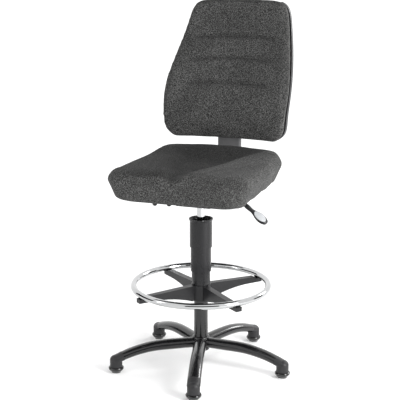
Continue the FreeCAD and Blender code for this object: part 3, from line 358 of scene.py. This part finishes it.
# %% Metals
def powder_coat(name, colour, rough, peel):
    coat = Finish(name, colour, rough, Coat_Roughness=0.08, Coat_Weight=0.25, Specular_IOR_Level=0.45)
    peel_noise = coat.noise(520, 2)
    patches = coat.noise(7, 4)
    lighter = tuple(c * 1.35 for c in colour)
    coat.feed("Base Color", coat.mix(coat.range(patches, 0.35, 0.7, 0, 1), colour, lighter))
    coat.feed("Roughness", coat.range(patches, 0.3, 0.7, rough - 0.04, rough + 0.05))
    coat.bump(peel_noise, peel, 0.35)
    return coat.material


def bright_metal(name, colour, rough, streak):
    metal = Finish(name, colour, rough, 1.0)
    inputs = {"Vector": metal.place, "Scale": (1, 1, 14)}
    stretched = metal.node("ShaderNodeMapping", inputs=inputs, output="Vector")
    scratches = metal.noise(streak, 3, stretched)
    clouds = metal.noise(11, 3)
    wear = scratches * 0.5 + clouds * 0.5
    metal.feed("Roughness", metal.range(wear, 0.35, 0.65, rough * 0.6, rough * 1.5))
    duller = tuple(c * 0.93 for c in colour)
    metal.feed("Base Color", metal.mix(metal.range(clouds, 0.3, 0.7, 0, 1), colour, duller))
    metal.bump(scratches, 0.00002, 0.3)
    return metal.material


leg_finish = powder_coat("gloss_powder_coat", (0.005, 0.005, 0.0055), 0.20, 0.0003)
steel_coat_finish = powder_coat("satin_powder_coat", (0.010, 0.010, 0.011), 0.36, 0.0003)
chrome_finish = bright_metal("chrome", (0.50, 0.505, 0.51), 0.055, 90)
steel_finish = bright_metal("machined_steel", (0.38, 0.38, 0.385), 0.28, 260)
print("metals ready")

# %% [markdown]
# ## Finishes on the CAD parts
# The CAD parts keep their shapes, so they only need a finish in their material slots. The record says which
# slot a node uses, and a table turns slots into finishes.

# %% Give every CAD node its finish
FINISHES = {
    "black_steel": leg_finish, "grey_plastic": cap_finish, "black_gloss_plastic": glide_finish,
    "pad_rubber": rubber_finish, "cover_plastic": cover_finish, "chrome": chrome_finish,
    "spider_plastic": spider_finish, "bearing_steel": steel_finish, "slide_plastic": slide_finish,
    "mechanism_steel": steel_coat_finish, "grip_plastic": grip_finish, "inlay_grey": inlay_finish,
    "shell_plastic": shell_finish, "seat_fabric": cloth_finish,
}
OTHER_FINISH = {"bar_sleeve": sleeve_finish}
slot_of = {part["node"]: part["material_slot"] for part in frame["record"]["subparts"]}


def coat(piece, finish):
    """Puts one finish on a piece, whatever slots it has."""
    if not piece.material_slots:
        piece.data.materials.append(finish)
    for slot in piece.material_slots:
        slot.material = finish


for name, node in nodes.items():
    coat(node, OTHER_FINISH.get(name) or FINISHES[slot_of[name]])
print("finished nodes:", len(nodes))

# %% [markdown]
# ## How a pad is made
# A foam pad is a closed skin that pushes out against its cloth. The pad starts as a copy of its plain CAD
# solid, is merged into one skin and drawn in a little, because it will swell. A voxel remesh gives even
# small faces, smoothing rounds the cut edges, and a short cloth simulation with inner pressure crowns the
# faces and pulls the sides in between the corners. The swelling is capped, so that the pad keeps the size
# of the real one.

# %% Pad helpers
DRAWN_IN = 0.001


def skin_of(node_name, shrink):
    """A merged copy of a CAD node's mesh, drawn in along its normals."""
    bm = bmesh.new()
    bm.from_mesh(nodes[node_name].data)
    bmesh.ops.remove_doubles(bm, verts=bm.verts, dist=0.00002)
    bmesh.ops.recalc_face_normals(bm, faces=bm.faces)
    bm.normal_update()
    for vert in bm.verts:
        vert.co -= vert.normal * shrink
    mesh = bpy.data.meshes.new(node_name + "_skin")
    bm.to_mesh(mesh)
    bm.free()
    return mesh


def link(name, mesh):
    piece = bpy.data.objects.new(name, mesh)
    bpy.context.scene.collection.objects.link(piece)
    return piece


def apply_all(piece):
    """Replaces a piece's mesh with what its modifiers make of it."""
    bpy.context.view_layer.update()
    shown = piece.evaluated_get(bpy.context.evaluated_depsgraph_get())
    made = bpy.data.meshes.new_from_object(shown)
    piece.modifiers.clear()
    piece.data = made
    return piece


def remesh(piece, voxel):
    step = piece.modifiers.new("even_faces", "REMESH")
    step.mode = "VOXEL"
    step.voxel_size = voxel
    return apply_all(piece)


def relax(piece, rounds, factor=0.5):
    """Smooths a skin by moving each vertex towards its neighbours."""
    bm = bmesh.new()
    bm.from_mesh(piece.data)
    for _ in range(rounds):
        bmesh.ops.smooth_vert(
            bm, verts=bm.verts, factor=factor, use_axis_x=True, use_axis_y=True, use_axis_z=True)
    bm.to_mesh(piece.data)
    bm.free()


def reshape(piece, move):
    """Moves every vertex by a rule: move(place, normal) gives the new place."""
    bm = bmesh.new()
    bm.from_mesh(piece.data)
    bm.normal_update()
    for vert in bm.verts:
        vert.co = move(vert.co.copy(), vert.normal.copy())
    bm.to_mesh(piece.data)
    bm.free()


SWELL_FRAMES = 20
FOAM_PRESSURE = 4.0
CLOTH_STIFFNESS = 15


def swell(piece, cap):
    """Blows a closed skin up with a cloth simulation, and caps how far any point moves."""
    start = [v.co.copy() for v in piece.data.vertices]
    step = piece.modifiers.new("pad", "CLOTH")
    step.settings.use_pressure = True
    step.settings.uniform_pressure_force = FOAM_PRESSURE
    step.settings.tension_stiffness = CLOTH_STIFFNESS
    step.settings.compression_stiffness = CLOTH_STIFFNESS
    step.settings.effector_weights.gravity = 0
    step.collision_settings.use_collision = False
    step.point_cache.frame_start = 1
    step.point_cache.frame_end = SWELL_FRAMES
    scene = bpy.context.scene
    for moment in range(1, SWELL_FRAMES + 1):
        scene.frame_set(moment)
    apply_all(piece)
    scene.frame_set(1)
    for vert, was in zip(piece.data.vertices, start):
        moved = vert.co - was
        if moved.length > cap:
            vert.co = was + moved * (cap / moved.length)


def fit_box(piece, node_name, grow):
    """Stretches a skin so that it fills its CAD node's box, give or take a little each way."""
    low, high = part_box(node_name)
    for axis in range(3):
        values = [vert.co[axis] for vert in piece.data.vertices]
        least, most = min(values), max(values)
        wide = high[axis] - low[axis] + 2 * grow[axis]
        for vert in piece.data.vertices:
            share = (vert.co[axis] - least) / (most - least)
            vert.co[axis] = low[axis] - grow[axis] + share * wide


def ease(value, low, high):
    """0 before low, 1 after high, and a smooth step between."""
    share = min(1.0, max(0.0, (value - low) / (high - low)))
    return share * share * (3 - 2 * share)


def mark_painted_shade(piece, rule):
    """Writes the painted shade at each point, from 0 to 1."""
    marks = piece.data.attributes.new(SHADE_ATTRIBUTE, "FLOAT", "POINT")
    for mark, vert in zip(marks.data, piece.data.vertices):
        mark.value = rule(vert.co, vert.normal)


def subdivide(piece):
    """One applied subdivision."""
    finer = piece.modifiers.new("finer", "SUBSURF")
    finer.levels = 1
    finer.render_levels = 1
    apply_all(piece)


def finish_pad(piece, node_name, body):
    """Smooth shading, the cloth, and the piece's place in the model."""
    for face in piece.data.polygons:
        face.use_smooth = True
    piece.data.materials.clear()
    piece.data.materials.append(cloth_finish)
    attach(piece, body)
    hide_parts(node_name)
    spans = []
    for axis in range(3):
        values = [vert.co[axis] for vert in piece.data.vertices]
        spans.append(round(max(values) - min(values), 3))
    print(piece.name, "vertices", len(piece.data.vertices), "size", spans)


# %% [markdown]
# ## Seat cushion
# The seat is a thick moulded foam pad under tight cloth. Its plan narrows to the rear and its walls lean
# out from a smaller underside to a full belly. The top is a shallow dish inside a ridge. The ridge starts
# at the middle of the front edge and runs rearwards and outwards on both sides, then turns out to the rear
# corners. Outside the ridge the cloth falls away to the side and front edges, so light from one side
# catches that slope and leaves the dish dark. Towards the rear the pad is a little wider than its CAD solid
# and its top is crowned.

# %% Seat cushion
seat_low, seat_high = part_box("seat_cushion")
SEAT_THICK = seat_high.z - seat_low.z
SEAT_HALF_X = (seat_high.x - seat_low.x) / 2
SEAT_HALF_Y = (seat_high.y - seat_low.y) / 2
SEAT_MID_Y = (seat_high.y + seat_low.y) / 2
RIDGE = (
    (-0.30, 0.010), (-0.25, 0.040), (-0.05, 0.105), (0.05, 0.120),
    (0.13, 0.165), (0.22, 0.200), (0.30, 0.220))
DISH = 0.021
DISH_WIDTH = 0.055
RIDGE_RISE = 0.009
REAR_RISE = 0.019
FRONT_FALL = 0.005
REAR_WIDEN = 0.008
WALL_FILL = 0.010
BELLY_RISE = 0.008
LIP_DROP = 0.009
# Strength of the painted shade on the seat's dish; the two edges below set how far it reaches on each side.
SEAT_SHADE = 0.80
EDGE_CRISP = 0.002
EDGE_SOFT = 0.22
SEAT_VOXEL = 0.0065
SEAT_SWELL = 0.007


def ridge_at(y):
    """How far from the middle the ridge stands at a distance along the seat."""
    for (y0, x0), (y1, x1) in zip(RIDGE, RIDGE[1:]):
        if y <= y1:
            return x0 + (x1 - x0) * max(0.0, (y - y0) / (y1 - y0))
    return RIDGE[-1][1]


def fill_walls(place, normal):
    """Lifts the belly and fills the walls out below it, so that they stand nearly upright."""
    share = min(1.0, max(0.0, (place.z - seat_low.z) / SEAT_THICK))
    low_part = (1 - share) * (1 - share)
    place.x *= 1 + WALL_FILL * low_part / SEAT_HALF_X
    place.y -= WALL_FILL * 0.5 * low_part * (1 - ease(place.y, -0.2, 0.0))
    place.z += BELLY_RISE * 4 * share * (1 - share)
    return place


def drop_lip(place, normal):
    """Draws the lower edge down over the rim of the shell."""
    share = min(1.0, max(0.0, (place.z - seat_low.z) / SEAT_THICK))
    outward = max(abs(place.x) / SEAT_HALF_X, abs(place.y - SEAT_MID_Y) / SEAT_HALF_Y)
    place.z -= LIP_DROP * (1 - share) ** 2 * ease(outward, 0.74, 0.86)
    return place


# Painted shade on the seat: darkens the upward-facing dish inside the ridge, and reaches further out on the
# sitter's right.
def seat_painted_shade(place, normal):
    """Painted shade on the dish, from 0 to 1: a crisp edge on the sitter's left, a wide soft one on the
    sitter's right, away from the main lamp.
    """
    edge = -EDGE_CRISP if place.x > 0 else -EDGE_SOFT
    inside = ridge_at(place.y) - abs(place.x)
    return SEAT_SHADE * ease(inside, edge, 0.010) * ease(normal.z, 0.75, 0.95)


def dish_seat(place, normal):
    """Dishes the top inside the ridge and lets it fall away outside."""
    up = ease(place.z, seat_low.z + SEAT_THICK * 0.6, seat_high.z - 0.006)
    inside = ridge_at(place.y) - abs(place.x)
    fade = 1 - 0.75 * ease(place.y, 0.06, 0.20)
    if inside > 0:
        top = RIDGE_RISE - DISH * fade * min(1.0, inside / DISH_WIDTH)
    else:
        top = RIDGE_RISE * (1 - 0.5 * ease(-inside, 0.0, 0.10))
    across = abs(place.x) / SEAT_HALF_X
    crown = REAR_RISE * ease(place.y, 0.02, 0.20) * (1 - across * across)
    place.z += up * (top + crown - FRONT_FALL * (1 - ease(place.y, -0.28, -0.20)))
    place.x *= 1 + REAR_WIDEN / SEAT_HALF_X * ease(place.y, -0.24, 0.12)
    return place


seat = link("seat_pad", skin_of("seat_cushion", DRAWN_IN))
remesh(seat, SEAT_VOXEL)
relax(seat, 9)
swell(seat, SEAT_SWELL)
relax(seat, 2)
fit_box(seat, "seat_cushion", (0.001, 0.002, 0.0))
reshape(seat, fill_walls)
reshape(seat, drop_lip)
reshape(seat, dish_seat)
relax(seat, 1)
subdivide(seat)
# Writes the painted shade on the seat's dish.
mark_painted_shade(seat, seat_painted_shade)
finish_pad(seat, "seat_cushion", "seat")

# %% [markdown]
# ## Back cushion
# The back pad is thinner. It bulges at the lumbar, leans back towards the head and wraps a little round the
# sitter. Three shallow channels are pressed into its upper half; they droop towards their ends and fade out
# before the sides. A channel is narrower than a voxel, so it is pressed in after the remesh and the
# simulation.

# %% Back cushion
back_low, back_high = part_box("back_cushion")
BACK_TALL = back_high.z - back_low.z
CHANNELS = (0.745, 0.590, 0.415)
CHANNEL_HALF = 0.0085
CHANNEL_DEPTH = 0.006
CHANNEL_DROOP = 0.012
# Strength of the painted shade in the back's channels.
CHANNEL_SHADE = 0.42
BACK_VOXEL = 0.0055
BACK_SWELL = 0.005


def channel_share(place, normal):
    """How deep in a channel a point of the pad's front is, from 0 to 1."""
    if normal.y > -0.3:
        return 0.0
    depth = 0.0
    for share in CHANNELS:
        middle = back_low.z + BACK_TALL * share - CHANNEL_DROOP * (place.x / 0.2) ** 2
        apart = abs(place.z - middle) / CHANNEL_HALF
        depth = max(depth, math.exp(-apart * apart))
    return depth * (1 - ease(abs(place.x), 0.125, 0.175))


def channel_painted_shade(place, normal):
    """Painted shade on the back: darker in the channels, where shade falls in the creases."""
    return CHANNEL_SHADE * channel_share(place, normal)


def press_channels(place, normal):
    """Presses the drooping channels into the front of the pad."""
    return place - normal * (CHANNEL_DEPTH * channel_share(place, normal))


back = link("back_pad", skin_of("back_cushion", DRAWN_IN))
remesh(back, BACK_VOXEL)
relax(back, 5)
swell(back, BACK_SWELL)
relax(back, 1)
fit_box(back, "back_cushion", (0.0005, 0.0, 0.002))
subdivide(back)
# Writes the painted shade in the channels.
mark_painted_shade(back, channel_painted_shade)
reshape(back, press_channels)
finish_pad(back, "back_cushion", "backrest")
